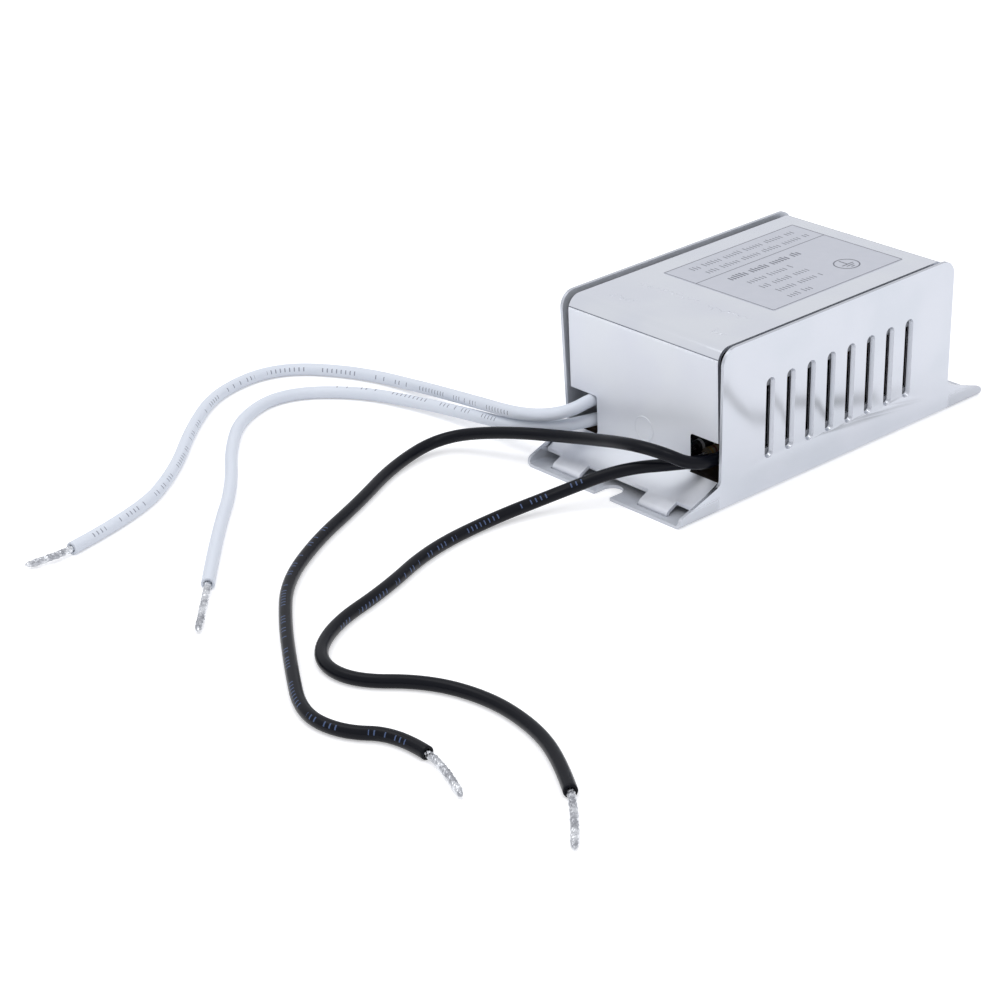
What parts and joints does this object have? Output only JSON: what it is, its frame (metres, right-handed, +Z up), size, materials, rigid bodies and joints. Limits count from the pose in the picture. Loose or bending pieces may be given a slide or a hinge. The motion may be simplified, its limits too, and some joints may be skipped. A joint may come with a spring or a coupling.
{
  "type": "halogen lamp transformer",
  "caption": "Electronic transformer for low-voltage halogen lamps in a vented, bright-plated folded sheet case with notched feet and flying leads with tinned ends.",
  "frame": {"origin": "centre of the underside of the base, midway between the foot tips", "axes": "+X along the case away from the end that the leads leave, +Y across the case, +Z up from the base to the cover"},
  "size_m": [0.1844, 0.1868, 0.0335],
  "materials": {
    "case_sheet": "bright plated steel sheet",
    "cover_sheet": "bright plated steel sheet",
    "liner_card": "dark insulating card",
    "board": "paper-phenolic board",
    "solder": "solder",
    "ferrite": "sintered ferrite",
    "ring_ferrite": "sintered ferrite",
    "bobbin_plastic": "moulded bobbin",
    "winding_tape": "winding under polyester tape",
    "winding_wire": "enamelled copper",
    "drive_wire": "insulated hook-up wire",
    "sink": "mill finish",
    "pad": "silicone pad",
    "transistor_case": "moulded epoxy",
    "tinned_metal": "tinned copper",
    "screw": "zinc plated",
    "film_box": "potted box",
    "filter_box": "potted box",
    "choke_wire": "enamelled copper",
    "diode": "moulded epoxy",
    "resistor": "lacquered",
    "diac_glass": "lacquered glass",
    "fuse_ceramic": "ceramic body",
    "component_wire": "tinned copper",
    "inner_strand": "tinned copper",
    "white_lead": "semi-matte white insulation",
    "black_lead": "semi-gloss black insulation",
    "tinned_strand": "tinned stranded copper"
  },
  "bodies": {
    "root": {"base_channel": "case_sheet", "cover": "cover_sheet", "insulating_liner": "liner_card", "circuit_board": "board", "solder_joints": "solder", "ferrite_core": "ferrite", "bobbin": "bobbin_plastic", "primary_winding": "winding_wire", "secondary_winding": "winding_tape", "ring_core": "ring_ferrite", "ring_windings": "drive_wire", "heat_sink": "sink", "thermal_pads": "pad", "transistor_cases": "transistor_case", "transistor_tabs": "tinned_metal", "transistor_legs": "tinned_metal", "sink_screws": "screw", "film_capacitors": "film_box", "filter_capacitor": "filter_box", "start_capacitor": "filter_box", "choke_core": "ferrite", "choke_winding": "choke_wire", "rectifier_diodes": "diode", "resistors": "resistor", "diac": "diac_glass", "fuse": "fuse_ceramic", "component_wires": "component_wire", "inner_wire_ends": "inner_strand", "lead_white_1": "white_lead", "lead_white_2": "white_lead", "lead_black_1": "black_lead", "lead_black_2": "black_lead", "tinned_end_white_1": "tinned_strand", "tinned_end_white_2": "tinned_strand", "tinned_end_black_1": "tinned_strand", "tinned_end_black_2": "tinned_strand"}
  },
  "joints": []
}
